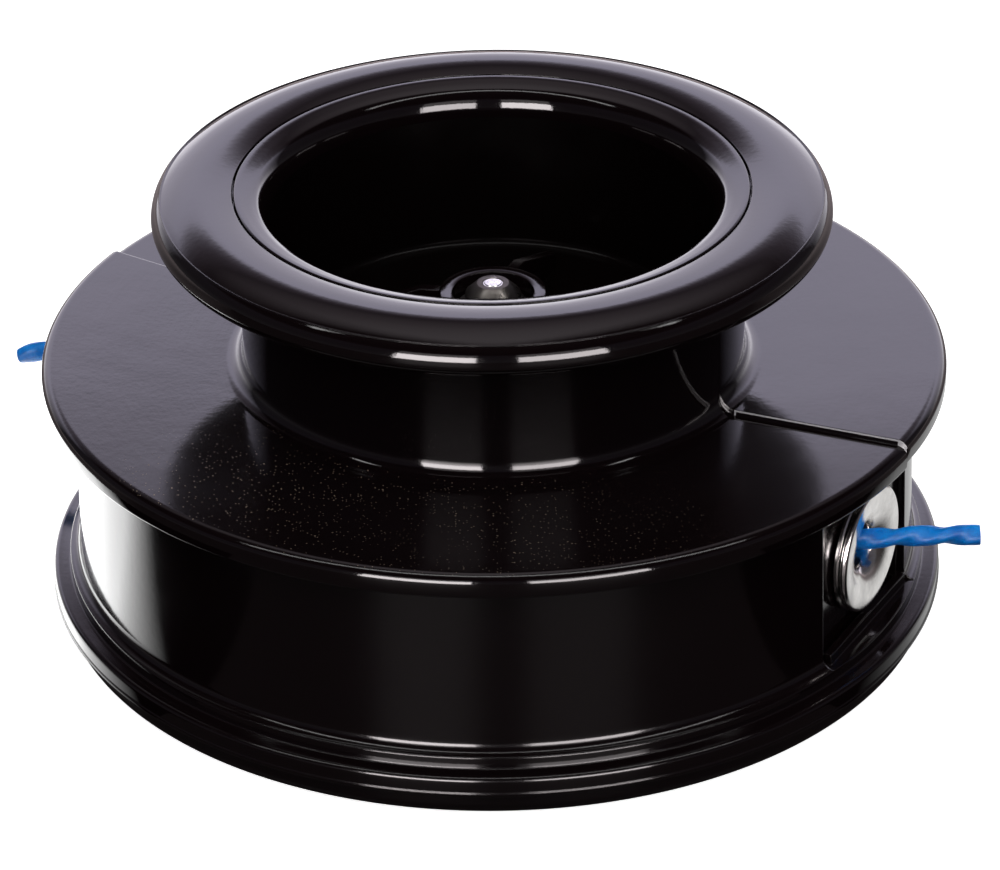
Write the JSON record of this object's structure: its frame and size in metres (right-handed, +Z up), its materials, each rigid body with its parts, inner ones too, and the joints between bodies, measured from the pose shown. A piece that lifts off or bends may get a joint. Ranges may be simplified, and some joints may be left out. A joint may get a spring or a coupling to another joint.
{
  "type": "line trimmer head",
  "caption": "Line trimmer head: drum with eyelets for the cutting line, and a flanged hollow knob on top that feeds and winds the spool.",
  "frame": {"origin": "centre of the base on the ground plane, without the free line ends", "axes": "+Z up along the head's axis towards the knob, -Y towards the viewer of the picture, +X to its right"},
  "size_m": [0.1404, 0.13, 0.0652],
  "materials": {
    "gloss_black_plastic": "high gloss",
    "inner_black_plastic": "satin",
    "zinc_steel": "plated",
    "polished_steel": "polished",
    "spring_steel": "drawn wire",
    "blue_line": "extruded nylon"
  },
  "bodies": {
    "housing": {"housing_drum": "gloss_black_plastic", "base_cover": "gloss_black_plastic", "cover_screw_1": "zinc_steel", "cover_screw_2": "zinc_steel", "cover_screw_3": "zinc_steel", "cover_screw_4": "zinc_steel", "arbor": "zinc_steel", "arbor_washer": "zinc_steel", "arbor_nut": "zinc_steel", "eyelet_right": "polished_steel", "eyelet_left": "polished_steel", "eyelet_washer_right": "polished_steel", "eyelet_washer_left": "polished_steel", "compression_spring": "spring_steel", "spring_washer": "zinc_steel", "retaining_ring": "spring_steel", "line_end_right": "blue_line", "line_end_left": "blue_line"},
    "lift_washer": {"thrust_washer": "zinc_steel"},
    "knob": {"knob_shell": "gloss_black_plastic", "knob_cup": "gloss_black_plastic", "spool": "inner_black_plastic", "wound_line": "blue_line", "spool_screw_1": "zinc_steel", "spool_screw_2": "zinc_steel", "spool_screw_3": "zinc_steel"}
  },
  "joints": [
    {"name": "knob_lift", "type": "slide", "parent": "housing", "child": "lift_washer", "axis": [0, 0, 1], "range_m": [0, 0.0008], "deforming": ["compression_spring"]},
    {"name": "knob_turn", "type": "hinge", "parent": "lift_washer", "child": "knob", "pos_m": [0, 0, 0.035], "axis": [0, 0, 1], "range_deg": [-175, 0]}
  ],
  "couplings": [
    {"joint": "knob_lift", "follows": "knob_turn", "m_per_rad": -0.00025522}
  ]
}
